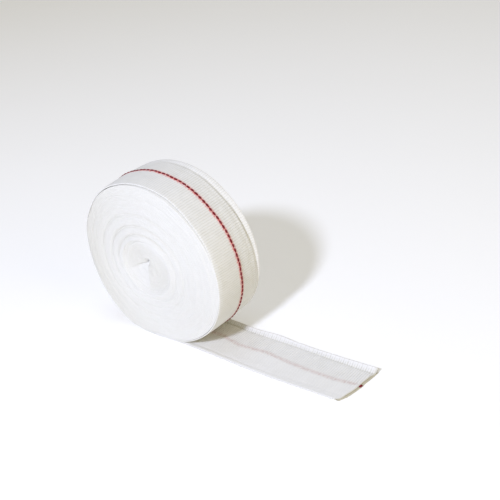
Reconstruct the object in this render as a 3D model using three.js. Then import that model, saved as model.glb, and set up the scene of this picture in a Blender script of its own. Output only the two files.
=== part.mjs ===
// A tubular bandage roll: one length of flat-laid knitted tube wound on itself, standing on its rim.
// Millimetres, +Z up. The roll's axis lies along Y, its front face looks to -Y, and the loose end runs
// along +X. The origin is on the floor, under the roll's axis.

import * as THREE from 'three';

const { lerp, radToDeg, smoothstep } = THREE.MathUtils;

// The strip
const STRIP_WIDTH = 35;
const STRIP_THICKNESS = 1.2;
const LAP_PITCH = 0.81;
const GAP = 0.3;

// The roll
const ROLL_RADIUS = 50.8;
const AXIS_HEIGHT = 49.2;
const FRONT = -STRIP_WIDTH / 2;
const BACK = STRIP_WIDTH / 2;
const ROLL_COLUMNS = 90;

// Where the strip leaves the roll, and the length of the step in the roll's underside there.
const LEAVING_X = -8;
const STEP_LENGTH = 0.4;

// The power of the radius with which the step in the roll's outline fades out over its faces.
const STEP_FADE = 8;

// The soft roll has slumped: its inner turns sit lower and further left, and stay rounder.
const HUB_SHIFT_X = -2.8;
const HUB_SHIFT_Z = -1.4;
const ROUNDING_POWER = 2.5;

// The roll's outline, as a share of its radius. Angles go from +X towards +Z, in degrees.
const OUTLINE = [
  { angle: -90, radius: 0.99 },
  { angle: -62, radius: 0.99 },
  { angle: -30, radius: 1.0 },
  { angle: 5, radius: 0.992 },
  { angle: 45, radius: 0.99 },
  { angle: 70, radius: 1.018 },
  { angle: 105, radius: 1.004 },
  { angle: 140, radius: 1.01 },
  { angle: 180, radius: 1.0 },
  { angle: 195, radius: 0.99 },
  { angle: 215, radius: 1.006 },
  { angle: 238, radius: 1.034 },
  { angle: 252, radius: 1.018 },
  { angle: 270, radius: 0.99 },
];

// How the last lap lies around the roll: its front edge is set back, and its back edge flares out.
const LAST_LAP = [
  { angle: -90, setback: 0.15, flare: 0 },
  { angle: -60, setback: 0.15, flare: 0.1 },
  { angle: -25, setback: 0.15, flare: 0.4 },
  { angle: 10, setback: 0.3, flare: 0.9 },
  { angle: 35, setback: 0.9, flare: 1.2 },
  { angle: 70, setback: 1.3, flare: 1.1 },
  { angle: 105, setback: 0.7, flare: 0.7 },
  { angle: 135, setback: 0.3, flare: 0.8 },
  { angle: 200, setback: 0.15, flare: 0.5 },
  { angle: 240, setback: 0.15, flare: 0.1 },
  { angle: 270, setback: 0.15, flare: 0 },
];

// Relief of the front face from the hub outwards: radius as a share of the roll's, and rise out of it.
const FRONT_FACE = [
  { radius: 0, rise: -4.2 },
  { radius: 0.03, rise: -3.9 },
  { radius: 0.055, rise: -2.4 },
  { radius: 0.13, rise: -1.9 },
  { radius: 0.22, rise: -1.1 },
  { radius: 0.3, rise: 0.1 },
  { radius: 0.345, rise: 0.6 },
  { radius: 0.385, rise: 0.3 },
  { radius: 0.405, rise: -0.9 },
  { radius: 0.428, rise: 0.15 },
  { radius: 0.465, rise: 0.45 },
  { radius: 0.497, rise: 0.15 },
  { radius: 0.513, rise: -0.7 },
  { radius: 0.533, rise: 0.1 },
  { radius: 0.59, rise: 0.35 },
  { radius: 0.645, rise: 0.15 },
  { radius: 0.662, rise: -0.45 },
  { radius: 0.682, rise: 0 },
  { radius: 0.76, rise: 0.2 },
  { radius: 0.84, rise: 0 },
  { radius: 0.853, rise: -0.25 },
  { radius: 0.868, rise: 0 },
  { radius: 0.978, rise: 0 },
];

// The back face is plainer: a shallow hub and two grooves.
const BACK_FACE = [
  { radius: 0, rise: -2.8 },
  { radius: 0.05, rise: -2.2 },
  { radius: 0.16, rise: -1.5 },
  { radius: 0.3, rise: -0.3 },
  { radius: 0.4, rise: 0.3 },
  { radius: 0.46, rise: 0.1 },
  { radius: 0.478, rise: -0.6 },
  { radius: 0.5, rise: 0.1 },
  { radius: 0.68, rise: 0.2 },
  { radius: 0.745, rise: 0 },
  { radius: 0.76, rise: -0.4 },
  { radius: 0.777, rise: 0 },
  { radius: 0.978, rise: 0 },
];
const BACK_FACE_SINK = 0.9;

// The last lap across its width: its place, its lift all round, and its lift where it flares.
const RIM = [
  { across: 0, lift: -0.45, flared: 0 },
  { across: 0.012, lift: -0.1, flared: 0 },
  { across: 0.04, lift: 0, flared: 0 },
  { across: 0.25, lift: 0.1, flared: 0 },
  { across: 0.44, lift: 0.1, flared: 0 },
  { across: 0.49, lift: 0.25, flared: 0 },
  { across: 0.54, lift: 0.1, flared: 0 },
  { across: 0.64, lift: 0, flared: -0.15 },
  { across: 0.74, lift: 0.05, flared: 0.1 },
  { across: 0.83, lift: 0, flared: -0.2 },
  { across: 0.865, lift: -0.05, flared: -0.5 },
  { across: 0.9, lift: 0, flared: 0.1 },
  { across: 0.95, lift: 0, flared: 0.8 },
  { across: 0.985, lift: -0.1, flared: 1.2 },
  { across: 1, lift: -0.45, flared: 1.1 },
];

// The crumpled hub: a pinched slit beside the eye, and soft folds of the first turns around it.
const SLIT_ANGLE = 200;
const SLIT_HALF_ANGLE = 9;
const SLIT_END = 0.2;
const SLIT_DEPTH = 1.1;
const HUB_FOLDS = 3;
const FOLD_HEIGHT = 0.45;
const FOLD_END = 0.3;

// The loose end
const LOOSE_START = LEAVING_X + STEP_LENGTH + GAP;
const LOOSE_REACH = 127;
const LOOSE_STEPS = 42;
const MIDDLE_STEPS = 9;
const CUT_ZONE = 0.88;
const CORNER_RADIUS = 4;
const LIP_STEPS = 3;
const LIP_THICKNESS = 0.9;
const LIP_CURVE = 1.4;
const RIPPLE_HEIGHT = 0.12;
const RIPPLE_LENGTH = 19;

// The front edge of the loose end and its standing back edge: the lip's feet inside and outside, its
// top edge and its height.
const LOOSE_EDGES = [
  { along: -8, front: -17.4, inside: 14, outside: 16.6, top: 17.4, height: 1.2 },
  { along: 14, front: -16.7, inside: 13.4, outside: 16, top: 17.2, height: 1.2 },
  { along: 30, front: -17, inside: 12.4, outside: 14.8, top: 15.6, height: 2.1 },
  { along: 45, front: -17.7, inside: 11.3, outside: 13.4, top: 14.2, height: 2.7 },
  { along: 62, front: -18.5, inside: 11.2, outside: 13.6, top: 14.8, height: 3.1 },
  { along: 76, front: -18.6, inside: 11.4, outside: 13.4, top: 14.2, height: 2.7 },
  { along: 90, front: -18.4, inside: 11, outside: 13, top: 13.9, height: 2.8 },
  { along: 108, front: -17.9, inside: 10.8, outside: 12.9, top: 14, height: 3 },
  { along: 118, front: -17.6, inside: 10.7, outside: 12.9, top: 14.2, height: 3.2 },
  { along: 128, front: -17.4, inside: 10.7, outside: 13, top: 14.5, height: 3.4 },
];

// The scissor cut across the end: how far it reaches at a place across the strip.
const CUT = [
  { across: -18, reach: 124.2 },
  { across: 0, reach: 127 },
  { across: 12, reach: 128.1 },
  { across: 18, reach: 128.4 },
];

// The front fold of the tube and the crease behind it: inset from the edge, and where the underside
// and the top lie, as shares of the thickness.
const FRONT_FOLD = [
  { inset: 0, low: 0.3, high: 0.75 },
  { inset: 0.25, low: 0.06, high: 1.0 },
  { inset: 0.7, low: 0, high: 1.12 },
  { inset: 1.7, low: 0, high: 1.1 },
  { inset: 2.5, low: 0, high: 0.8 },
  { inset: 3.4, low: 0, high: 0.96 },
];

// Reads one column of a table at a place, easing from each row to the next.
function readTable(rows, key, at, column) {
  const next = rows.findIndex((row) => row[key] > at);
  if (next < 0) return rows[rows.length - 1][column];
  const low = rows[Math.max(next - 1, 0)];
  const high = rows[next];
  return lerp(low[column], high[column], smoothstep(at, low[key], high[key]));
}

// The angle of a column of the wound form, in radians. Column 0 is where the strip leaves the roll, and
// the next columns follow the strip from there over the left side and the top, one lap inwards.
function columnAngle(column) {
  const start = 2 * Math.PI + Math.atan2(-AXIS_HEIGHT, LEAVING_X);
  const swept = 2 * Math.PI - STEP_LENGTH / ROLL_RADIUS;
  return start - (swept * column) / (ROLL_COLUMNS - 1);
}

// The rows of the wound form from the front hub over the rim to the back hub.
function rollRows() {
  const front = FRONT_FACE.map(({ radius, rise }) => (
    { radius: radius * ROLL_RADIUS, y: FRONT - rise, setback: 0, flared: 0, inHub: radius < FOLD_END }
  ));
  const rim = RIM.map(({ across, lift, flared }) => (
    { radius: ROLL_RADIUS + lift, y: lerp(FRONT, BACK, across), setback: 1 - across, flared, inHub: false }
  ));
  const back = BACK_FACE.map(({ radius, rise }) => (
    { radius: radius * ROLL_RADIUS, y: BACK - BACK_FACE_SINK + rise, setback: 0, flared: 0, inHub: false }
  ));
  return [...front, ...rim, ...back.reverse()];
}

// How far the crumpled hub stands out of the front face at a place on it.
function hubRelief(share, angle) {
  if (share === 0) return 0;
  const folds = FOLD_HEIGHT * Math.cos(HUB_FOLDS * angle) * (1 - smoothstep(share, 0, FOLD_END));
  const fromSlit = Math.abs(radToDeg(angle) - SLIT_ANGLE) / SLIT_HALF_ANGLE;
  const slit = SLIT_DEPTH * (1 - smoothstep(fromSlit, 0, 1)) * (1 - smoothstep(share, 0, SLIT_END));
  return folds - slit;
}

// The wound roll: a turned form whose outline is slumped, and whose last lap ends in a step in the
// underside. It is flat below, left of the step on the floor and right of it on the loose end.
function woundRoll() {
  const rows = rollRows();
  const profile = rows.map((row) => new THREE.Vector2(row.radius, row.y));
  const geometry = new THREE.LatheGeometry(profile, ROLL_COLUMNS);
  const position = geometry.getAttribute('position');
  for (let index = 0; index < position.count; index += 1) {
    const row = rows[index % rows.length];
    const column = Math.floor(index / rows.length) % ROLL_COLUMNS;
    const wound = column / (ROLL_COLUMNS - 1);
    const angle = columnAngle(column);
    const degrees = radToDeg(angle) < -90 ? radToDeg(angle) + 360 : radToDeg(angle);
    const share = row.radius / ROLL_RADIUS;
    const slump = lerp(1, readTable(OUTLINE, 'angle', degrees, 'radius'), share ** ROUNDING_POWER);
    const flare = row.flared * readTable(LAST_LAP, 'angle', degrees, 'flare');
    const radius = (row.radius - LAP_PITCH * wound * share ** STEP_FADE) * slump + flare;
    const inward = 1 - Math.min(share, 1) ** 2;
    const x = radius * Math.cos(angle) + HUB_SHIFT_X * inward;
    const z = radius * Math.sin(angle) + HUB_SHIFT_Z * inward + AXIS_HEIGHT;
    const setback = row.setback * readTable(LAST_LAP, 'angle', degrees, 'setback');
    const relief = row.inHub ? hubRelief(share, angle) : 0;
    const floor = wound < 0.5 ? 0 : STRIP_THICKNESS + GAP;
    position.setXYZ(index, x, row.y + setback - relief, Math.max(z, floor));
  }
  return geometry;
}

// The stations across the loose end at a place along it, from its front fold to the lip's top edge. Each
// has a point on the underside and one on the top, as Y and Z.
function stripStations(along) {
  const edge = (column) => readTable(LOOSE_EDGES, 'along', along, column);
  const [front, inside, outside] = [edge('front'), edge('inside'), edge('outside')];
  const [top, height] = [edge('top'), edge('height')];
  const ripple = RIPPLE_HEIGHT * Math.sin((2 * Math.PI * along) / RIPPLE_LENGTH);
  const stations = FRONT_FOLD.map(({ inset, low, high }) => ({
    low: [front + inset, low * STRIP_THICKNESS],
    high: [front + inset, high * STRIP_THICKNESS],
  }));
  const folded = front + FRONT_FOLD.at(-1).inset;
  for (let step = 1; step < MIDDLE_STEPS; step += 1) {
    const share = step / MIDDLE_STEPS;
    const dip = Math.abs(ripple * Math.sin(2 * Math.PI * share));
    stations.push({
      low: [lerp(folded, outside, share), 0],
      high: [lerp(folded, inside, share), STRIP_THICKNESS - dip],
    });
  }
  for (let step = 0; step <= LIP_STEPS; step += 1) {
    const share = step / LIP_STEPS;
    stations.push({
      low: [lerp(outside, top, share), share * (height - LIP_THICKNESS / 2)],
      high: [lerp(inside, top - LIP_THICKNESS, share), lerp(STRIP_THICKNESS, height, share ** LIP_CURVE)],
    });
  }
  return stations;
}

// How far the cut end reaches at a place across the strip, with its front corner rounded off.
function cutReach(across) {
  const inset = Math.min(Math.max(across - LOOSE_EDGES.at(-1).front, 0), CORNER_RADIUS);
  const rounding = CORNER_RADIUS - Math.sqrt(CORNER_RADIUS ** 2 - (CORNER_RADIUS - inset) ** 2);
  return readTable(CUT, 'across', across, 'reach') - rounding;
}

// The loose end: a sheet that is flat below, laid along the floor from under the roll to its cut end.
function looseEnd() {
  const stationCount = stripStations(0).length;
  const geometry = new THREE.BoxGeometry(1, 1, 1, LOOSE_STEPS, stationCount - 1, 1);
  const position = geometry.getAttribute('position');
  for (let index = 0; index < position.count; index += 1) {
    const share = position.getX(index) + 0.5;
    const station = Math.round((position.getY(index) + 0.5) * (stationCount - 1));
    const side = position.getZ(index) > 0 ? 'high' : 'low';
    const along = lerp(LOOSE_START, LOOSE_REACH, share);
    const [y, z] = stripStations(along)[station][side];
    const cut = (cutReach(y) - LOOSE_REACH) * smoothstep(share, CUT_ZONE, 1);
    position.setXYZ(index, along + cut, y, z);
  }
  return geometry;
}

// Undyed knitted cotton and viscose, slightly greyer where it lies single on the floor.
const woundCloth = new THREE.MeshStandardMaterial({ color: 0xf3f3f0, roughness: 0.95, metalness: 0 });
const looseCloth = new THREE.MeshStandardMaterial({ color: 0xeceae5, roughness: 0.95, metalness: 0 });

const bandage = new THREE.Group();
for (const [name, geometry, material] of [
  ['wound_roll', woundRoll(), woundCloth],
  ['loose_end', looseEnd(), looseCloth],
]) {
  const mesh = new THREE.Mesh(geometry, material);
  mesh.name = name;
  bandage.add(mesh);
}

export default bandage;
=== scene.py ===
"""Looks for a roll of tubular bandage: wound turns, last lap, free end and red marker yarn."""

import math

import bmesh
import bpy
from mathutils import Matrix, Vector, noise


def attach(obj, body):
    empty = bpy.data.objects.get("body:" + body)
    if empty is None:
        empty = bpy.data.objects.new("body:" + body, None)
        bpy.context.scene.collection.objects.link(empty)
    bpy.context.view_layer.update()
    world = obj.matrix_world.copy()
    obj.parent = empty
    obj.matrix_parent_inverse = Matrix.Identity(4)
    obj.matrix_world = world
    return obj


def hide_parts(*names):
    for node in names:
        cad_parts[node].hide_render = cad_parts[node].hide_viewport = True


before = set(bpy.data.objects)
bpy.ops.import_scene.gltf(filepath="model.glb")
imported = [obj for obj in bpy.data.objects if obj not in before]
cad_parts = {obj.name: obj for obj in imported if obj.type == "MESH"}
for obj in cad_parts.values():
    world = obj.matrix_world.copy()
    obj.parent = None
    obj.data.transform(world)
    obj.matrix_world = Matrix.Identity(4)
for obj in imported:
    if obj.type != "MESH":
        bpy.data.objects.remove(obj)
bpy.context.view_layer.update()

bl_info = {
    "name": "Tubular Bandage Roll",
    "version": (1, 0, 0),
    "blender": (4, 5, 0),
    "location": "View3D > Sidebar > Bandage",
    "description": "Builds a bandage roll: its wound turns, last lap, free end, yarn and stage",
    "category": "Object",
}

MM = 0.001
BODY = "root"
ROLL_NODE = "wound_roll"
END_NODE = "loose_end"
UV_NAME = "strip"

# Lengths below are in millimetres, and angles in degrees from +X towards +Z

# The strip leaves the roll at this place, and its laps are counted inwards from there. The last
# lap and the free end overlap a little round it
LEAVING_X = -8.0
LAST_LAP_START = -0.0024
FREE_END_START = LEAVING_X + 0.7

# Rows of points along the strip for each of its grooves
ROWS_PER_RIB = 5

# Distance between the rows of stitches along the strip, and the bands across it where the grooves
# become more or less clear
ROW_PITCH = 0.74
MIDDLE_BAND = (13.0, 19.0)
EDGE_BAND = (31.0, 32.5)

# What the mesh says of a place too far off the marker yarn to be stained
FAR_OFF = 9

# The slumped roll: radius as a share of the roll's, how far the turns there have moved along X and
# Z, and how much wider than high they lie
SLUMP = [
    (0, -4.9, 0.8, 0),
    (0.06, -4.8, 0.6, 0.01),
    (0.3, -3.7, -1.1, 0.02),
    (0.42, -3.3, -1.3, 0.025),
    (0.55, -2.9, -1.1, 0.03),
    (0.7, -2.6, -0.8, 0.026),
    (0.85, -1.6, -0.5, 0.01),
    (1, 0, 0, 0),
]

# The power of the radius with which the outline's unevenness fades out towards the middle
ROUNDING_POWER = 2.5

# The roll's outline, as a share of its radius, from +X towards +Z
OUTLINE = [
    (-90, 0.99),
    (-62, 0.99),
    (-30, 1.0),
    (5, 0.992),
    (45, 0.99),
    (70, 1.009),
    (105, 1.018),
    (127, 1.031),
    (147, 1.026),
    (163, 1.036),
    (180, 1.026),
    (195, 1.024),
    (215, 1.044),
    (238, 1.058),
    (252, 1.014),
    (270, 0.99),
]

# How the last lap lies: angle, set-back of its front edge, and flare of its back edge
LAST_LAP = [
    (-90, 0.15, 0),
    (-60, 0.15, 0.1),
    (-25, 0.15, 0.4),
    (10, 0.3, 0.85),
    (35, 0.9, 0.9),
    (70, 1.3, 0.6),
    (105, 0.7, 0.15),
    (135, 0.3, 0.1),
    (200, 0.15, 0.3),
    (240, 0.15, 0.1),
    (270, 0.15, 0),
]

# The crease beside the flared back edge: angle, distance from the edge, and depth
CREASE = [
    (-90, 1.5, 0),
    (-30, 1.5, 0.1),
    (-10, 1.7, 0.65),
    (5, 2.1, 0.85),
    (25, 3.0, 0.95),
    (60, 3.8, 0.75),
    (90, 3.5, 0.5),
    (110, 3.2, 0.45),
    (150, 3.2, 0.2),
    (230, 3.2, 0),
    (270, 3.2, 0),
]

# Relief of the front face: radius as a share of the roll's, and rise out of the face
FRONT_FACE = [
    (0, -4.0),
    (0.03, -3.6),
    (0.06, -2.5),
    (0.13, -1.9),
    (0.23, -1.4),
    (0.31, -0.7),
    (0.335, 0.3),
    (0.355, 1.1),
    (0.425, 0.5),
    (0.5, 0.6),
    (0.6, 0.55),
    (0.75, 0.5),
    (0.88, 0.4),
    (0.955, 0.1),
    (0.985, -0.15),
    (1, -0.5),
]

# Grooves between groups of turns on the front face: share of the radius, depth, and width
GROOVES = [
    (0.425, 0.95, 0.014),
    (0.53, 0.95, 0.017),
    (0.672, 0.6, 0.02),
    (0.78, 0.15, 0.016),
    (0.86, 0.25, 0.018),
]

# The back face is plainer: a shallow hub and two grooves
BACK_FACE = [
    (0, -2.8),
    (0.05, -2.2),
    (0.16, -1.5),
    (0.3, -0.3),
    (0.4, 0.3),
    (0.46, 0.1),
    (0.478, -0.6),
    (0.5, 0.1),
    (0.68, 0.2),
    (0.745, 0),
    (0.76, -0.4),
    (0.777, 0),
    (1, 0),
]
BACK_FACE_SINK = 0.9

# The crumpled hub: angle and rise of the first turns, with a pinched slit to the left of the eye
HUB_FOLDS = [
    (-90, 0.95),
    (-40, 0.95),
    (0, 0.7),
    (60, 0.45),
    (120, 0.4),
    (180, 0.65),
    (192, 0.5),
    (198, -1.15),
    (215, -1.0),
    (260, -0.95),
    (270, 0.95),
]

# How much of the folds there is: radius as a share of the roll's, and share of their rise
HUB_WINDOW = [(0, 0.2), (0.05, 1), (0.12, 0.85), (0.22, 0.42), (0.31, 0)]

# The folded edge of the wound strip: distance from the edge, and depth of its outer face in laps
FOLD_EDGE = [(0.02, 0.2), (0.06, 0.06), (0.14, 0)]
FOLD_DEPTH = 1.0

# Edges of the free end: along, front edge, the lip's feet inside and outside, its top and height
FREE_EDGES = [
    (-8, -17.4, 14, 16.6, 17.4, 1.2),
    (14, -16.7, 13.4, 16, 17.2, 1.2),
    (30, -17, 12.4, 14.8, 15.6, 2.1),
    (45, -17.7, 11.3, 13.4, 14.2, 2.7),
    (62, -18.5, 11.2, 13.6, 14.8, 3.1),
    (76, -18.6, 11.4, 13.4, 14.2, 2.7),
    (90, -18.4, 11, 13, 13.9, 2.8),
    (108, -17.9, 10.8, 12.9, 14, 3),
    (118, -17.6, 10.7, 12.9, 14.2, 3.2),
    (128, -17.4, 10.7, 13, 14.5, 3.4),
]

# The skewed scissor cut: place across the strip, and reach
CUT = [(-18, 124.2), (0, 127), (12, 128.1), (18, 128.4)]

# How much shorter the upper layer is cut, the rounding of the front corner, and the share of the
# free end's length at which the skew begins
CUT_SLANT = 1.1
CORNER_RADIUS = 3.2
CUT_ZONE = 0.88
END_REACH = 127.0

# The open mouth at the cut: thickness of a layer, the mouth's depth, and where the marker yarn ends
LAYER = 0.46
MOUTH_DEPTH = 2.6
YARN_END = (126.1, -1.4, 0.9)

# The free end's front fold: distance from the edge, and height as a share of the thickness
FRONT_FOLD = [(0, 0.75), (0.25, 1.0), (0.7, 1.1), (1.7, 1.08), (2.5, 0.88), (3.4, 0.96)]

# Points of the free end's section: places on the front fold, steps over the flat top, steps up the
# lip, and the steps over which the lip's grooves fade out
FOLD_PLACES = (0, 0.06, 0.2, 0.45, 0.8, 1.2, 1.7, 2.1, 2.5, 3.0)
TOP_STEPS = 27
LIP_STEPS = 8
LIP_GROOVES = 7

# The marker yarn on the last lap: angle, and place from the middle of the strip
MARKER_LAP = [
    (-90, 2.3),
    (-30, 2.0),
    (-15, 1.7),
    (0, 1.0),
    (25, 0.5),
    (50, 0.1),
    (80, -0.2),
    (100, 0.3),
    (125, 1.0),
    (270, 1.0),
]

# The marker yarn on the underside of the free end: along, and place across
MARKER_PATH = [
    (-8, -0.9),
    (20, 0.2),
    (31, 0.4),
    (38, -1.3),
    (46, -2.7),
    (54, -2.0),
    (64, -1.1),
    (77, -2.3),
    (83, -2.9),
    (95.5, -3.4),
    (109, -3.4),
    (120, -2.3),
    (124.7, -1.0),
    (128, -0.6),
]


def lerp(low, high, share):
    return low + (high - low) * share


def ease(value, low, high):
    """0 below low, 1 above high, and a smooth rise between them."""
    share = min(max((value - low) / (high - low), 0.0), 1.0)
    return share * share * (3 - 2 * share)


def read(rows, at, column=1):
    """One column of a table at a place, easing from each row to the next."""
    for low, high in zip(rows, rows[1:]):
        if high[0] > at:
            return lerp(low[column], high[column], ease(at, low[0], high[0]))
    return rows[-1][column]


def bump(value, centre, width):
    """A soft hill of height 1 at a centre."""
    return math.exp(-(((value - centre) / width) ** 2))


def wander(x, y, z):
    """A smooth irregular hill or dip between about -1 and 1, the same on every run."""
    return 1.6 * noise.noise(Vector((x, y, z)))


def soft_max(first, second, softness):
    """The larger of two numbers, with the corner between them rounded."""
    return 0.5 * (first + second + math.sqrt((first - second) ** 2 + softness**2))


class BandageStripSettings(bpy.types.PropertyGroup):
    """The flat-laid knitted tube."""

    width: bpy.props.FloatProperty(
        name="Width",
        description="Width of the strip laid flat",
        default=0.035,
        unit="LENGTH",
    )
    thickness: bpy.props.FloatProperty(
        name="Thickness",
        description="Thickness of the free strip, both layers together",
        default=0.0012,
        unit="LENGTH",
    )
    rib_pitch: bpy.props.FloatProperty(
        name="Rib pitch",
        description="Distance between the grooves that run across the strip",
        default=0.00145,
        unit="LENGTH",
    )
    rib_depth: bpy.props.FloatProperty(
        name="Rib depth",
        description="Depth of the grooves that run across the strip",
        default=0.00005,
        unit="LENGTH",
    )
    cloth_colour: bpy.props.FloatVectorProperty(
        name="Cloth colour",
        description="Colour of the knitted cloth",
        default=(0.84, 0.835, 0.82),
        size=3,
        subtype="COLOR",
    )
    # Painted shade: the cloth is mixed towards this colour in its grooves, between its rows of
    # stitches, along the free end's crease and evenly over the darker pieces
    groove_shade_colour: bpy.props.FloatVectorProperty(
        name="Groove colour",
        description="Colour of the cloth down in its grooves",
        default=(0.60, 0.59, 0.53),
        size=3,
        subtype="COLOR",
    )
    # Partly the cut edge's own colour and partly painted shade: this olive colour is also mixed
    # into the front face's grooves, hub and left side, the last lap's lower right, and the mouth at
    # the cut
    raw_and_shade_colour: bpy.props.FloatVectorProperty(
        name="Raw edge colour",
        description="Colour between the two layers at the cut",
        default=(0.50, 0.46, 0.32),
        size=3,
        subtype="COLOR",
    )


class BandageRollSettings(bpy.types.PropertyGroup):
    """The wound roll."""

    radius: bpy.props.FloatProperty(
        name="Radius",
        description="Radius of the roll before it slumps",
        default=0.0508,
        unit="LENGTH",
    )
    axis_height: bpy.props.FloatProperty(
        name="Axis height",
        description="Height of the roll's middle above the floor",
        default=0.0492,
        unit="LENGTH",
    )
    lap_pitch: bpy.props.FloatProperty(
        name="Lap pitch",
        description="Distance from one turn to the next",
        default=0.00081,
        unit="LENGTH",
    )
    eye_radius: bpy.props.FloatProperty(
        name="Eye radius",
        description="Radius at which the innermost turn begins",
        default=0.0012,
        unit="LENGTH",
    )


class BandageMarkerSettings(bpy.types.PropertyGroup):
    """The marker yarn."""

    pitch: bpy.props.FloatProperty(
        name="Stitch pitch",
        description="Distance from one visible stitch to the next",
        default=0.0029,
        unit="LENGTH",
    )
    length: bpy.props.FloatProperty(
        name="Stitch length",
        description="Length of a visible stitch",
        default=0.00265,
        unit="LENGTH",
    )
    width: bpy.props.FloatProperty(
        name="Stitch width",
        description="Width of a visible stitch",
        default=0.0014,
        unit="LENGTH",
    )
    colour: bpy.props.FloatVectorProperty(
        name="Yarn colour",
        description="Colour of the marker yarn",
        default=(0.17, 0.007, 0.014),
        size=3,
        subtype="COLOR",
    )
    stain_colour: bpy.props.FloatVectorProperty(
        name="Stain colour",
        description="Colour of the cloth beside the marker yarn",
        default=(0.70, 0.14, 0.12),
        size=3,
        subtype="COLOR",
    )
    veiled_colour: bpy.props.FloatVectorProperty(
        name="Veiled colour",
        description="Colour of the marker yarn seen through the upper layer",
        default=(0.46, 0.24, 0.20),
        size=3,
        subtype="COLOR",
    )


class BandageStageSettings(bpy.types.PropertyGroup):
    """The floor, the lights and the camera."""

    azimuth: bpy.props.FloatProperty(
        name="Azimuth",
        description="Turn of the camera from the front towards +X",
        default=math.radians(40.8949),
        subtype="ANGLE",
    )
    elevation: bpy.props.FloatProperty(
        name="Elevation",
        description="Angle at which the camera looks down",
        default=math.radians(28.5045),
        subtype="ANGLE",
    )
    roll: bpy.props.FloatProperty(
        name="Camera roll",
        description="Turn of the camera about its line of sight",
        default=math.radians(-7.2364),
        subtype="ANGLE",
    )
    distance: bpy.props.FloatProperty(
        name="Distance",
        description="Distance of the camera from its target",
        default=0.497794,
        unit="LENGTH",
    )
    target: bpy.props.FloatVectorProperty(
        name="Target",
        description="Place that the camera looks at",
        default=(0.060325, 0.0, 0.066299),
        size=3,
        subtype="TRANSLATION",
    )
    lens: bpy.props.FloatProperty(
        name="Lens",
        description="Focal length on a 36 mm sensor",
        default=66.765,
        unit="CAMERA",
    )
    floor_colour: bpy.props.FloatVectorProperty(
        name="Floor colour",
        description="Colour of the floor",
        default=(0.97, 0.97, 0.97),
        size=3,
        subtype="COLOR",
    )
    sky_colour: bpy.props.FloatVectorProperty(
        name="Sky colour",
        description="Colour of the soft light from all round",
        default=(1.0, 0.92, 0.69),
        size=3,
        subtype="COLOR",
    )
    sky_strength: bpy.props.FloatProperty(
        name="Sky strength",
        description="Strength of the soft light from all round",
        default=0.375,
    )
    key_colour: bpy.props.FloatVectorProperty(
        name="Key colour",
        description="Colour of the main light",
        default=(0.755, 0.805, 1.0),
        size=3,
        subtype="COLOR",
    )
    key_power: bpy.props.FloatProperty(
        name="Key power",
        description="Power of the main light",
        default=14.3,
        unit="POWER",
    )
    top_colour: bpy.props.FloatVectorProperty(
        name="Top colour",
        description="Colour of the soft light from above",
        default=(0.61, 0.71, 1.0),
        size=3,
        subtype="COLOR",
    )
    top_power: bpy.props.FloatProperty(
        name="Top power",
        description="Power of the soft light from above",
        default=4.4,
        unit="POWER",
    )
    fill_colour: bpy.props.FloatVectorProperty(
        name="Fill colour",
        description="Colour of the weaker light from +X",
        default=(1.0, 0.83, 0.38),
        size=3,
        subtype="COLOR",
    )
    fill_power: bpy.props.FloatProperty(
        name="Fill power",
        description="Power of the weaker light from +X",
        default=2.0,
        unit="POWER",
    )


class Value:
    """A node's output, which adds Math nodes when it is used in a sum."""

    def __init__(self, finish, socket):
        self.finish = finish
        self.socket = socket

    def math(self, operation, *values):
        return self.finish.node("ShaderNodeMath", {"operation": operation}, dict(enumerate(values)))

    def __add__(self, other):
        return self.math("ADD", self, other)

    def __radd__(self, other):
        return self.math("ADD", other, self)

    def __sub__(self, other):
        return self.math("SUBTRACT", self, other)

    def __rsub__(self, other):
        return self.math("SUBTRACT", other, self)

    def __mul__(self, other):
        return self.math("MULTIPLY", self, other)

    def __rmul__(self, other):
        return self.math("MULTIPLY", other, self)

    def __pow__(self, other):
        return self.math("POWER", self, other)

    def __abs__(self):
        return self.math("ABSOLUTE", self)

    def cosine(self):
        return self.math("COSINE", self)

    def eased(self, low, high):
        """0 at low, 1 at high, and a smooth rise between them."""
        settings = {"interpolation_type": "SMOOTHSTEP"}
        inputs = {0: self, 1: low, 2: high, 3: 0.0, 4: 1.0}
        return self.finish.node("ShaderNodeMapRange", settings, inputs)


class Finish:
    """A material whose nodes are added one by one."""

    def __init__(self, name):
        self.material = bpy.data.materials.new(name)
        self.material.use_nodes = True
        self.tree = self.material.node_tree
        self.tree.nodes.clear()

    def node(self, kind, settings, inputs, output=0):
        """Adds a node with its settings and the values or links of its sockets."""
        made = self.tree.nodes.new(kind)
        for key, setting in settings.items():
            setattr(made, key, setting)
        for key, given in inputs.items():
            if isinstance(given, Value):
                self.tree.links.new(given.socket, made.inputs[key])
            else:
                made.inputs[key].default_value = given
        return Value(self, made.outputs[output]) if made.outputs else None

    def colour(self, colour):
        """A colour as a socket takes it, with its opacity."""
        return (*colour, 1.0)

    def mix(self, factor, first, second):
        """Goes from the first colour to the second."""
        inputs = {0: factor, 6: first, 7: second}
        return self.node("ShaderNodeMix", {"data_type": "RGBA"}, inputs, 2)

    def attribute(self, name):
        """A number that the mesh holds at each of its points."""
        return self.node("ShaderNodeAttribute", {"attribute_name": name}, {}, 2)

    def noise(self, place, scale, detail):
        inputs = {"Vector": place, "Scale": scale, "Detail": detail, "Roughness": 0.55}
        return self.node("ShaderNodeTexNoise", {}, inputs)

    def shaded(self, inputs):
        """The material, with these values and links on its shader."""
        shader = self.node("ShaderNodeBsdfPrincipled", {}, inputs)
        self.node("ShaderNodeOutputMaterial", {}, {"Surface": shader})
        return self.material


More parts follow.
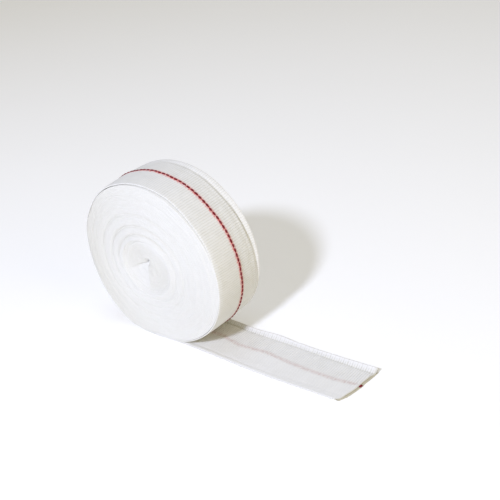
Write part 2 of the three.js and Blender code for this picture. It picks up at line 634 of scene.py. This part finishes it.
def knitted_cloth(name, strip, marker, ribs, painted_shade, halo=0.0, strength=0.0, bend=0.0):
    """Knitted cotton with grooves across the strip and rows of stitches along it.

    The strip's UV map is in millimetres: along the strip, and across it. The mesh says how far off
    the marker yarn each place is, and how much it takes of the cut edge's colour and of painted
    shade. ribs is how clear the grooves are in the front half, the back half and at the back edge;
    the grooves and the gaps between the rows of stitches are painted darker as shade. tone is how
    much painted shade darkens the whole piece, halo how far the yarn's colour reaches, and strength
    how strong it is. On the free end, bend is where the strip bends up, with painted shade along
    the crease there and in the lip's wide grooves, and the yarn is seen through the upper layer.
    """
    finish = Finish(name)
    uv = finish.node("ShaderNodeUVMap", {"uv_map": UV_NAME}, {})
    along = finish.node("ShaderNodeSeparateXYZ", {}, {0: uv}, 0)
    across = finish.node("ShaderNodeSeparateXYZ", {}, {0: uv}, 1)
    pitch = strip.rib_pitch / MM
    fuzz = finish.noise(uv, 2.6, 3.0)
    patches = finish.noise(uv, 0.16, 2.0)
    strayed = along + 0.5 * (patches - 0.5) + 0.3 * (fuzz - 0.5)
    groove = (0.5 + 0.5 * (strayed * (2 * math.pi / pitch)).cosine()) ** 5.0
    rows = 0.5 + 0.5 * ((across + 0.25 * (fuzz - 0.5)) * (2 * math.pi / ROW_PITCH)).cosine()
    loops = 0.5 + 0.5 * (strayed * (4 * math.pi / pitch)).cosine()
    near, far, edge = ribs
    ribs = near + (far - near) * across.eased(*MIDDLE_BAND)
    ribs = ribs + (edge - far) * across.eased(*EDGE_BAND)
    height = -0.05 * ribs * groove + 0.025 * rows + 0.025 * loops * rows + 0.06 * (fuzz - 0.5)
    normal = finish.node("ShaderNodeBump", {}, {"Strength": 1.0, "Distance": MM, "Height": height})
    # Painted shade: the cloth is darker down in its grooves and between its rows of stitches
    depth = 0.22 * ribs * groove * (0.4 + 1.2 * patches) + 0.10 * (1 - rows)
    # Painted shade evenly over the whole piece, set for each piece; the patches vary the cloth at
    # random
    depth = depth + 0.25 * (patches - 0.5) + painted_shade
    if bend:
        # Painted shade along the crease where the strip bends up, and in the wide grooves on the
        # lip
        wide = (0.5 + 0.5 * (strayed * (math.pi / pitch)).cosine()) ** 8.0
        folded = 1 - abs(across - bend).eased(0.1, 0.9)
        depth = depth + 0.5 * folded + 0.2 * wide * across.eased(bend, bend + 1)
    pale, dark = finish.colour(strip.cloth_colour), finish.colour(strip.groove_shade_colour)
    colour = finish.mix(depth.eased(-0.1, 1.0), pale, dark)
    if halo:
        tufts = finish.noise(uv, 0.9, 2.0)
        off = finish.attribute("marker_offset") + 1.4 * (tufts - 0.5) + 0.9 * (fuzz - 0.5)
        stain = (1 - abs(off).eased(0.1, halo)) * (3.4 * tufts - 0.8) * strength
        seen = marker.veiled_colour if bend else marker.stain_colour
        colour = finish.mix(stain, colour, finish.colour(seen))
    # Mixes in the olive colour by the share the mesh holds: partly a cut edge's own colour, mostly
    # painted shade
    colour = finish.mix(finish.attribute("raw_edge_and_shade"), colour, finish.colour(strip.raw_and_shade_colour))
    return finish.shaded(
        {
            "Base Color": colour,
            "Roughness": 0.82 + 0.14 * fuzz,
            "Specular IOR Level": 0.25,
            "Sheen Weight": 0.25,
            "Sheen Roughness": 0.5,
            "Normal": normal,
        }
    )


def yarn(name, marker):
    """Soft spun yarn, with its loose fibres."""
    finish = Finish(name)
    place = finish.node("ShaderNodeTexCoord", {}, {}, 3)
    fibres = finish.noise(place, 4200.0, 3.0)
    patches = finish.noise(place, 260.0, 2.0)
    relief = {"Strength": 0.8, "Distance": 0.00012, "Height": fibres}
    normal = finish.node("ShaderNodeBump", {}, relief)
    worn = (0.65 * fibres + 0.5 * patches).eased(0.5, 0.9)
    bright = tuple(min(1.0, 0.04 + 1.5 * part) for part in marker.colour)
    return finish.shaded(
        {
            "Base Color": finish.mix(worn, finish.colour(marker.colour), finish.colour(bright)),
            "Roughness": 0.75 + 0.15 * fibres,
            "Specular IOR Level": 0.15,
            "Sheen Weight": 0.06,
            "Normal": normal,
        }
    )


def pale_paper(name, colour):
    """The plain floor, with a barely visible mottle."""
    finish = Finish(name)
    place = finish.node("ShaderNodeTexCoord", {}, {}, 3)
    mottle = finish.noise(place, 9.0, 2.0)
    darker = tuple(0.985 * part for part in colour)
    return finish.shaded(
        {
            "Base Color": finish.mix(mottle, finish.colour(colour), finish.colour(darker)),
            "Roughness": 0.9,
            "Specular IOR Level": 0.1,
            "Emission Color": finish.colour(colour),
            "Emission Strength": 0.12,
        }
    )


class Winding:
    """The way of the strip round the roll, in millimetres, its laps counted inwards."""

    def __init__(self, roll, strip):
        self.radius = roll.radius / MM
        self.axis_height = roll.axis_height / MM
        self.pitch = roll.lap_pitch / MM
        self.laps = (self.radius - roll.eye_radius / MM) / self.pitch
        self.half_width = strip.width / MM / 2
        self.leaving = 2 * math.pi + math.atan2(-self.axis_height, LEAVING_X)
        self.over_end = strip.thickness / MM + Station.FLOOR

    def arc(self, laps):
        """Length of strip in this many laps."""
        return 2 * math.pi * (self.radius * laps - self.pitch * laps * laps / 2)

    def station(self, laps):
        """What is the same all across the strip at a place along it."""
        return Station(self, laps)


class Station:
    """A place along the wound strip."""

    # The strip's height off the floor; and in the flat spot below the roll, the distance from turn
    # to turn, the height up to which they are pressed, and the softness of the bend into it
    FLOOR = 0.06
    PRESSED_PITCH = 0.62
    PRESSED_HEIGHT = 3
    PRESSED_SOFTNESS = 0.3

    def __init__(self, winding, laps):
        self.winding = winding
        self.laps = laps
        self.angle = winding.leaving - 2 * math.pi * laps
        self.degrees = (math.degrees(self.angle) + 90) % 360 - 90
        self.cos = math.cos(self.angle)
        self.sin = math.sin(self.angle)
        self.outline = read(OUTLINE, self.degrees)
        self.share = 1 - winding.pitch * laps / winding.radius
        self.length = winding.arc(laps)
        self.marker = read(MARKER_LAP, self.degrees) + 0.08 * math.sin(self.length / 23)
        self.front, self.back = self.edges()
        self.at_depth = {}

    def edges(self, depth=0.0):
        """Where the folded edges are, to the front and to the back, at a depth in laps."""
        half = self.winding.half_width
        laps = self.laps + depth
        share = max(1 - self.winding.pitch * laps / self.winding.radius, 0.0)
        if self.laps < 1:
            stray = 0.06 * math.sin(self.length / 13.0) + 0.04 * math.sin(self.length / 5.3)
            return read(LAST_LAP, self.degrees, 1) - half + stray, half + stray
        uneven = 0.2 * wander(1.3 * self.cos, 1.3 * self.sin, 0.21 * laps)
        uneven += 0.13 * wander(2.4 * self.cos, 2.4 * self.sin, 0.83 * laps)
        uneven *= ease(share, 0.0, 0.5)
        rise = read(FRONT_FACE, share)
        facing = 0.25 + 0.75 * (0.5 + 0.5 * math.cos(math.radians(self.degrees - 150)))
        for place, low, width in GROOVES:
            rise -= facing * low * bump(share, place, width)
        if share < 0.33:
            crumple = 0.3 * wander(16 * share * self.cos, 16 * share * self.sin, 0.4)
            rise += (read(HUB_FOLDS, self.degrees) + crumple) * read(HUB_WINDOW, share)
        rise -= 0.7 * ease(share, 0.72, 1.0) * bump(self.degrees, 185, 55)
        front = -half - rise - uneven
        back = half - BACK_FACE_SINK + read(BACK_FACE, share) + 0.7 * uneven
        return front, back

    def painted_face_shade(self, depth):
        """Painted shade on the front face: in its grooves, towards the left, and in the hub."""
        share = self.share - self.winding.pitch * depth / self.winding.radius
        face_shade = 0.25 * ease(share, 0.4, 1) * bump(self.degrees, 190, 60)
        facing = 0.15 + 0.85 * (0.5 + 0.5 * math.cos(math.radians(self.degrees - 135)))
        for place, low, width in GROOVES:
            facing *= 0.85 + 0.3 * wander(1.2 * self.cos, 1.2 * self.sin, 9 * place)
            face_shade += 0.25 * low * facing * bump(share, place - 0.4 * width, 0.8 * width)
        wedge = ease(self.degrees, 197, 200) * (1 - ease(self.degrees, 262, 270))
        disc = 0.36 - 0.07 * bump(self.degrees, 60, 40)
        return face_shade + 0.11 * (1 - ease(share, disc - 0.1, disc)) * (1 - wedge)

    def slumped(self, depth):
        """Radius at a depth in laps below the outer face, and how far the turns there moved."""
        radius = self.winding.radius - self.winding.pitch * (self.laps + depth)
        share = radius / self.winding.radius
        oval = 1 + read(SLUMP, share, 3) * math.cos(2 * self.angle)
        radius *= lerp(1, self.outline, share**ROUNDING_POWER) * oval
        return radius, read(SLUMP, share, 1), read(SLUMP, share, 2)

    def point(self, y, depth, lift=0.0, turn=0.0):
        """A point of the strip at y, a depth in laps below its outer face and a lift off it."""
        winding = self.winding
        if depth not in self.at_depth:
            self.at_depth[depth] = self.slumped(depth)
        radius, shift_x, shift_z = self.at_depth[depth]
        cos, sin = self.cos, self.sin
        if turn:
            cos, sin = math.cos(self.angle + turn), math.sin(self.angle + turn)
        x = (radius + lift) * cos + shift_x
        z = (radius + lift) * sin + shift_z + winding.axis_height
        rest = self.FLOOR if self.laps < 0.5 else winding.over_end
        rest += self.PRESSED_PITCH * (max(self.laps - 1, 0) + depth)
        if z < rest + self.PRESSED_HEIGHT:
            soft = self.laps > 0.5 or depth > 0.3
            z = soft_max(z, rest, self.PRESSED_SOFTNESS) if soft else max(z, rest)
        return Vector((x, y, z))


def flat_tube(name, rows, points, place, material):
    """A closed flat tube, made of a grid wrapped round.

    place gives a point, its UV, how far off the marker yarn it is, and how much it takes of the cut
    edge's colour and of painted shade.
    """
    bm = bmesh.new()
    bmesh.ops.create_grid(bm, x_segments=rows - 1, y_segments=points, size=0.5)
    uv = bm.loops.layers.uv.new(UV_NAME)
    off_marker = bm.verts.layers.float.new("marker_offset")
    raw_edge_and_shade = bm.verts.layers.float.new("raw_edge_and_shade")
    reach = max(vert.co.x for vert in bm.verts)
    flat = {}
    seam = []
    for vert in bm.verts:
        row = round((vert.co.x / reach + 1) / 2 * (rows - 1))
        step = round((vert.co.y / reach + 1) / 2 * points)
        vert.co, flat[vert], vert[off_marker], vert[raw_edge_and_shade] = place(row, step % points)
        if step % points == 0:
            seam.append(vert)
    for face in bm.faces:
        face.smooth = True
        for loop in face.loops:
            loop[uv].uv = flat[loop.vert]
    bmesh.ops.remove_doubles(bm, verts=seam, dist=0.0001)
    ends = [edge for edge in bm.edges if edge.is_boundary]
    bmesh.ops.holes_fill(bm, edges=ends, sides=0)
    bmesh.ops.recalc_face_normals(bm, faces=bm.faces)
    bmesh.ops.scale(bm, vec=(MM, MM, MM), verts=bm.verts)
    return finished(name, bm, material)


def finished(name, bm, material):
    """The object made of a bmesh, at the origin."""
    mesh = bpy.data.meshes.new(name)
    bm.to_mesh(mesh)
    bm.free()
    mesh.materials.append(material)
    piece = bpy.data.objects.new(name, mesh)
    bpy.context.scene.collection.objects.link(piece)
    return piece


def groove_at(length, pitch):
    """How deep in a groove across the strip a place along it is, from 0 to 1."""
    return (0.5 + 0.5 * math.cos(2 * math.pi * length / pitch)) ** 5


def last_lap_lift(station, y):
    """How far the last lap stands off the turns below, at a place across it."""
    half = station.winding.half_width
    from_back = half - y
    flare = read(LAST_LAP, station.degrees, 2)
    place, depth = read(CREASE, station.degrees, 1), read(CREASE, station.degrees, 2)
    lift = 1.3 * flare * ease(1 - from_back / place, 0, 1.1)
    lift -= depth * bump(from_back, place, 0.75)
    lift += 0.35 * depth * bump(from_back, place + 1.8, 1.0)
    lift -= 0.16 * flare * bump(from_back, 12.4, 1.9)
    lift += 0.10 * flare * bump(from_back, 9.2, 1.8)
    crown = 0.9 * ease(station.degrees, -75, -30) * ease(265 - station.degrees, 0, 40)
    lift += 0.10 + crown * (1 - ((y - 2) / 19.5) ** 2)
    lift += 0.10 * bump(y, station.marker, 1.3)
    lift -= 0.35 * bump(station.degrees, 8, 34) * (1 - ease(half + y, 0.4, 2.6))
    return lift


def rib_stray(station, y):
    """Angle in radians by which the last lap's grooves stray at a place across it."""
    return 0.0022 * math.sin(y / 4.3 + station.length / 37)


def last_lap_point(station, y):
    """A point on the outer face of the last lap, leaving out its grooves."""
    return station.point(y, 0, last_lap_lift(station, y), rib_stray(station, y))


class BANDAGE_OT_wound_turns(bpy.types.Operator):
    """Winds the strip from the second lap in to the eye of the roll"""

    bl_idname = "bandage.wound_turns"
    bl_label = "Wound Turns"

    def execute(self, context):
        scene = context.scene
        strip = scene.bandage_strip
        winding = Winding(scene.bandage_roll, strip)
        width = 2 * winding.half_width
        stations = []
        laps = 1.0
        while laps < winding.laps:
            station = winding.station(laps)
            stations.append(station)
            radius = winding.radius * station.share
            step = math.sqrt(0.16 * radius) if radius > 15 else 0.5
            laps += step / (2 * math.pi * radius)
        outer = [("front", off, depth) for off, depth in FOLD_EDGE]
        outer += [("back", off, depth) for off, depth in reversed(FOLD_EDGE)]
        inner = [(edge, off, FOLD_DEPTH - depth) for edge, off, depth in reversed(outer)]
        section = [("front", 0, FOLD_DEPTH / 2), *outer, ("back", 0, FOLD_DEPTH / 2), *inner]
        depths = {depth for _, _, depth in section}
        edges = [{depth: station.edges(depth) for depth in depths} for station in stations]

        def place(row, step):
            station = stations[row]
            edge, off, depth = section[step]
            front, back = edges[row][depth]
            if edge == "front":
                point = station.point(front + off, depth)
                # The front edges of the turns take painted shade; the back edges take none
                return point, (station.length, off), FAR_OFF, station.painted_face_shade(depth)
            return station.point(back - off, depth), (station.length, width - off), FAR_OFF, 0

        cloth = knitted_cloth(
            "wound_cotton", strip, scene.bandage_marker, ribs=(0.3, 0.3, 0.3), painted_shade=0.33
        )
        turns = flat_tube("wound_turns", len(stations), len(section), place, cloth)
        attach(turns, BODY)
        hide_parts(ROLL_NODE)
        return {"FINISHED"}


class BANDAGE_OT_last_lap(bpy.types.Operator):
    """Lays the last lap round the roll, with its ribs, its flared back edge and its crease"""

    bl_idname = "bandage.last_lap"
    bl_label = "Last Lap"

    def execute(self, context):
        scene = context.scene
        strip = scene.bandage_strip
        winding = Winding(scene.bandage_roll, strip)
        width = 2 * winding.half_width
        rib_pitch, rib_depth = strip.rib_pitch / MM, strip.rib_depth / MM
        rows = round(winding.arc(1) / rib_pitch) * ROWS_PER_RIB
        places = [lerp(LAST_LAP_START, 1.0, row / (rows - 1)) for row in range(rows)]
        stations = [winding.station(laps) for laps in places]
        edge = [0.0, 0.05, 0.15, 0.3, 0.5, 0.8, 1.2, 1.7, 2.3]
        middle = 34
        under_depth, fold_depth, fold_reach = 0.88, 0.44, 0.5
        across = [off / width for off in edge]
        across += [lerp(across[-1], 1 - across[-1], (n + 1) / (middle + 1)) for n in range(middle)]
        across += [1 - off / width for off in reversed(edge)]
        under = [0.995, 0.9, 0.7, 0.5, 0.3, 0.1, 0.005]
        section = [(share, "outer") for share in across] + [(share, "under") for share in under]

        def place(row, step):
            station = stations[row]
            share, side = section[step]
            y = lerp(station.front, station.back, share)
            lift = last_lap_lift(station, y)
            flat = (station.length, share * width)
            if side == "under":
                return station.point(y, under_depth, lift), flat, math.copysign(FAR_OFF, y), 0
            from_edge = min(share, 1 - share) * width
            depth = fold_depth * (1 - math.sqrt(1 - max(1 - from_edge / fold_reach, 0) ** 2))
            rib = rib_depth * groove_at(station.length, rib_pitch)
            point = station.point(y, depth, lift - rib, rib_stray(station, y))
            # The last value is painted shade: darker and yellower towards the lap's lower right
            return point, flat, y - station.marker, 0.13 * ease(50 - station.degrees, 0, 90)

        cloth = knitted_cloth(
            "last_lap_cotton",
            strip,
            scene.bandage_marker,
            ribs=(1.3, 1.6, 1.2),
            painted_shade=0.19,
            halo=2.2,
            strength=0.85,
        )
        lap = flat_tube("last_lap", rows, len(section), place, cloth)
        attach(lap, BODY)
        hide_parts(ROLL_NODE)
        return {"FINISHED"}


def end_section(along, thickness):
    """The free end's section at a place along it, over the top and the lip and back below."""
    edges = [read(FREE_EDGES, along, column) for column in range(1, 6)]
    front, inside, outside, top, height = edges
    ripple = 0.12 * math.sin(2 * math.pi * along / 19)
    fading = ease(along, 55, 100)
    points = []
    for off in FOLD_PLACES:
        bead = read(FRONT_FOLD, off)
        plain = min(bead, 1) if off < 1 else 1
        points.append((front + off, lerp(bead, plain, fading) * thickness))
    folded = front + FRONT_FOLD[-1][0]
    for step in range(TOP_STEPS):
        share = step / (TOP_STEPS - 1)
        dip = abs(ripple * math.sin(2 * math.pi * share)) + 0.42 * bump(share, 0.98, 0.03)
        full = lerp(0.96, 1, ease(share, 0, 0.1))
        points.append((lerp(folded, inside, share), thickness * full - dip))
    edge, shoulder = top - 0.85, height - 0.45
    for step in range(1, LIP_STEPS + 1):
        share = step / (LIP_STEPS + 1)
        points.append((lerp(inside, edge, share), lerp(thickness, height - 0.04, share**1.35)))
    points += [(edge, height), (edge + 0.3, height + 0.03), (edge + 0.65, height - 0.1)]
    points.append((top, shoulder))
    for step in range(1, 6):
        share = 1 - step / 6
        points.append((lerp(outside, top, share), share * shoulder))
    for share in (1, 0.85, 0.65, 0.5, 0.35, 0.15):
        points.append((lerp(front + 0.9, outside, share), 0))
    points += [(front + 0.5, 0.02), (front + 0.2, 0.1), (front + 0.05, 0.38)]
    return points


def section_normals(points):
    """Outward directions of a section's points."""
    normals = []
    for before, after in zip(points[-1:] + points[:-1], points[1:] + points[:1]):
        run, rise = after[0] - before[0], after[1] - before[1]
        length = math.hypot(run, rise) or 1
        normals.append((-rise / length, run / length))
    return normals


def cut_reach(across):
    """How far the cut end reaches at a place across it, with its front corner rounded off."""
    inset = min(max(across - FREE_EDGES[-1][1], 0), CORNER_RADIUS)
    rounding = CORNER_RADIUS - math.sqrt(CORNER_RADIUS**2 - (CORNER_RADIUS - inset) ** 2)
    return read(CUT, across) - rounding


class BANDAGE_OT_free_end(bpy.types.Operator):
    """Lays the free end on the floor, with its front fold, standing back edge and skewed cut"""

    bl_idname = "bandage.free_end"
    bl_label = "Free End"

    def execute(self, context):
        scene = context.scene
        strip = scene.bandage_strip
        thickness = strip.thickness / MM
        width = strip.width / MM
        rib_pitch, rib_depth = strip.rib_pitch / MM, strip.rib_depth / MM
        start = FREE_END_START
        rows = round((END_REACH - start) / rib_pitch * ROWS_PER_RIB)
        sections = []
        for row in range(rows):
            along = lerp(start, END_REACH, row / (rows - 1))
            points = end_section(along, thickness)
            sections.append((along, points, section_normals(points)))
        count = len(sections[0][1])
        flat_count = len(FOLD_PLACES) + TOP_STEPS
        top_count = flat_count + LIP_STEPS + 2

        def place(row, step):
            inner = max(row - (rows - 1), 0)
            along, points, normals = sections[min(row, rows - 1)]
            y, z = points[step]
            share = (along - start) / (END_REACH - start)
            along += (cut_reach(y) - END_REACH) * ease(share, CUT_ZONE, 1)
            if inner < 2:
                slant = CUT_SLANT * min(z / thickness, 1) * (1 - ease(y, 8.5, 11.5))
                along -= slant * ease(share, 0.985, 1)
            above = step < top_count
            if above:
                across = (step / (top_count - 1)) * width
            else:
                across = (1 - (step - top_count) / (count - top_count)) * width
            out, up = normals[step]
            left = flat_count + LIP_GROOVES - step
            if step < flat_count:
                off = -rib_depth * groove_at(along, rib_pitch)
            elif left > 0:
                off = -3.0 * rib_depth * groove_at(along, rib_pitch * 2) * left / LIP_GROOVES
            else:
                off = 0
            off -= LAYER * (inner > 0)
            y += out * off
            z = max(z + up * off, Station.FLOOR)
            marker_off = y - read(MARKER_PATH, along) if above else math.copysign(FAR_OFF, y)
            marker_off += math.copysign(6 * ease(share, 0.975, 0.99), marker_off)
            # The cut end takes the cut edge's colour with painted shade in it, and the mouth
            # between the layers is painted dark as shade; less of both towards the lip
            raw_and_shade = 0.75 if inner else 0.5 * ease(share, 0.982, 1)
            raw_and_shade *= 1 - 0.4 * ease(y, 10.5, 12)
            point = Vector((along - MOUTH_DEPTH * (inner > 1), y, z))
            return point, (along, across), marker_off, raw_and_shade

        cloth = knitted_cloth(
            "free_end_cotton",
            strip,
            scene.bandage_marker,
            ribs=(0.5, 2.0, 0.4),
            painted_shade=0.02,
            halo=2.3,
            strength=0.3,
            bend=27.4,
        )
        end = flat_tube("free_end", rows + 2, count, place, cloth)
        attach(end, BODY)
        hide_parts(END_NODE)
        return {"FINISHED"}


class BANDAGE_OT_marker_yarn(bpy.types.Operator):
    """Stitches the marker yarn along the last lap and along the underside of the free end"""

    bl_idname = "bandage.marker_yarn"
    bl_label = "Marker Yarn"

    def execute(self, context):
        scene = context.scene
        strip = scene.bandage_strip
        marker = scene.bandage_marker
        winding = Winding(scene.bandage_roll, strip)
        pitch = marker.pitch / MM
        size = Vector((marker.length, marker.width, marker.width * 0.62)) / MM
        bm = bmesh.new()

        def stitch(centre, ahead, out, number):
            side = out.cross(ahead).normalized()
            turn = Matrix((ahead, side, out)).transposed().to_4x4()
            long = size.x * (1 + 0.10 * math.sin(number * 2.3) + 0.05 * math.sin(number * 5.9))
            shape = Matrix.Diagonal((long, size.y, size.z, 1))
            made = bmesh.ops.create_uvsphere(
                bm,
                u_segments=8,
                v_segments=6,
                radius=0.5,
                matrix=Matrix.Translation(centre) @ turn @ shape,
            )
            for vert in made["verts"]:
                vert.co.z = max(vert.co.z, 0)

        for number in range(int(winding.arc(0.985) / pitch)):
            length = (number + 0.5) * pitch
            laps = length / winding.arc(1)
            for _ in range(3):
                laps += (length - winding.arc(laps)) / (2 * math.pi * winding.radius)
            near, far = winding.station(laps), winding.station(laps + 0.002)
            stray = 0.1 * math.sin(number * 1.9)
            here = last_lap_point(near, near.marker + stray)
            there = last_lap_point(far, far.marker + stray)
            ahead = (there - here).normalized()
            out = ahead.cross(Vector((0, 1, 0))).normalized()
            if out.dot(here - Vector((0, 0, winding.axis_height))) < 0:
                out = -out
            stitch(here + out * 0.04, ahead, out, number)
        along = LEAVING_X + 2
        while along < END_REACH - 1:
            y = read(MARKER_PATH, along)
            slope = read(MARKER_PATH, along + 1) - y
            ahead = Vector((1, slope, 0)).normalized()
            stitch(Vector((along, y, 0.12)), ahead, Vector((0, 0, -1)), number)
            along += pitch
            number += 1
        for step in (-0.45, 0.45):
            centre = Vector(YARN_END) + Vector((0.3 * step, step, -0.3 * abs(step)))
            stitch(centre, Vector((1, 0, 0)), Vector((0, 0, 1)), number)
        for face in bm.faces:
            face.smooth = True
        bmesh.ops.recalc_face_normals(bm, faces=bm.faces)
        bmesh.ops.scale(bm, vec=(MM, MM, MM), verts=bm.verts)
        stitches = finished("marker_stitches", bm, yarn("marker_cotton", marker))
        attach(stitches, BODY)
        return {"FINISHED"}


class BANDAGE_OT_stage(bpy.types.Operator):
    """Sets the floor, the soft light and the camera"""

    bl_idname = "bandage.stage"
    bl_label = "Stage"

    def execute(self, context):
        scene = context.scene
        stage = scene.bandage_stage
        self.floor(stage)
        self.light(scene, stage)
        self.camera(scene, stage)
        return {"FINISHED"}

    def floor(self, stage):
        bm = bmesh.new()
        bmesh.ops.create_circle(bm, cap_ends=True, segments=64, radius=4.0)
        bmesh.ops.translate(bm, vec=(0, 0, -0.0001), verts=bm.verts)
        finished("floor", bm, pale_paper("pale_floor", stage.floor_colour))

    def light(self, scene, stage):
        world = bpy.data.worlds.new("soft_sky")
        world.use_nodes = True
        sky = world.node_tree.nodes["Background"]
        sky.inputs["Color"].default_value = (*stage.sky_colour, 1)
        sky.inputs["Strength"].default_value = stage.sky_strength
        scene.world = world
        for name, place, side, power, colour in (
            ("key", (0.243, -1.024, 0.893), 0.15, stage.key_power, stage.key_colour),
            ("top", (0.0, 0.1, 1.4), 0.9, stage.top_power, stage.top_colour),
            ("fill", (1.1, -0.1, 0.4), 0.7, stage.fill_power, stage.fill_colour),
        ):
            data = bpy.data.lights.new(name, "AREA")
            data.shape = "DISK"
            data.size = side
            data.energy = power
            data.color = colour
            lamp = bpy.data.objects.new(name, data)
            lamp.location = place
            aim = Vector((0.03, 0, 0.04)) - lamp.location
            lamp.rotation_euler = aim.to_track_quat("-Z", "Y").to_euler()
            scene.collection.objects.link(lamp)
        scene.view_settings.view_transform = "Standard"

    def camera(self, scene, stage):
        turn, tilt, roll = stage.azimuth, stage.elevation, stage.roll
        level = math.cos(tilt)
        back = Vector((math.sin(turn) * level, -math.cos(turn) * level, math.sin(tilt)))
        right = Vector((math.cos(turn), math.sin(turn), 0))
        up = back.cross(right)
        across = right * math.cos(roll) + up * math.sin(roll)
        upright = up * math.cos(roll) - right * math.sin(roll)
        data = bpy.data.cameras.new("camera")
        data.lens = stage.lens
        data.sensor_width = 36.0
        data.clip_start = 0.01
        camera = bpy.data.objects.new("camera", data)
        place = Vector(stage.target) + back * stage.distance
        facing = Matrix((across, upright, back)).transposed().to_4x4()
        camera.matrix_world = Matrix.Translation(place) @ facing
        scene.collection.objects.link(camera)
        scene.camera = camera


class BANDAGE_PT_sidebar(bpy.types.Panel):
    """Lists the pieces of the bandage roll"""

    bl_label = "Bandage Roll"
    bl_idname = "BANDAGE_PT_sidebar"
    bl_space_type = "VIEW_3D"
    bl_region_type = "UI"
    bl_category = "Bandage"

    def draw(self, context):
        scene = context.scene
        for name, settings in SETTINGS.items():
            box = self.layout.box()
            for key in settings.__annotations__:
                box.prop(getattr(scene, name), key)
        for piece in PIECES:
            self.layout.operator(piece.bl_idname)


SETTINGS = {
    "bandage_strip": BandageStripSettings,
    "bandage_roll": BandageRollSettings,
    "bandage_marker": BandageMarkerSettings,
    "bandage_stage": BandageStageSettings,
}
PIECES = (
    BANDAGE_OT_stage,
    BANDAGE_OT_wound_turns,
    BANDAGE_OT_last_lap,
    BANDAGE_OT_free_end,
    BANDAGE_OT_marker_yarn,
)


def register():
    for name, settings in SETTINGS.items():
        bpy.utils.register_class(settings)
        setattr(bpy.types.Scene, name, bpy.props.PointerProperty(type=settings))
    for piece in PIECES:
        bpy.utils.register_class(piece)
    bpy.utils.register_class(BANDAGE_PT_sidebar)


def unregister():
    bpy.utils.unregister_class(BANDAGE_PT_sidebar)
    for piece in reversed(PIECES):
        bpy.utils.unregister_class(piece)
    for name, settings in reversed(SETTINGS.items()):
        delattr(bpy.types.Scene, name)
        bpy.utils.unregister_class(settings)


def main():
    register()
    bpy.ops.bandage.stage()
    bpy.ops.bandage.wound_turns()
    bpy.ops.bandage.last_lap()
    bpy.ops.bandage.free_end()
    bpy.ops.bandage.marker_yarn()
    bpy.context.view_layer.update()


if __name__ == "__main__":
    main()
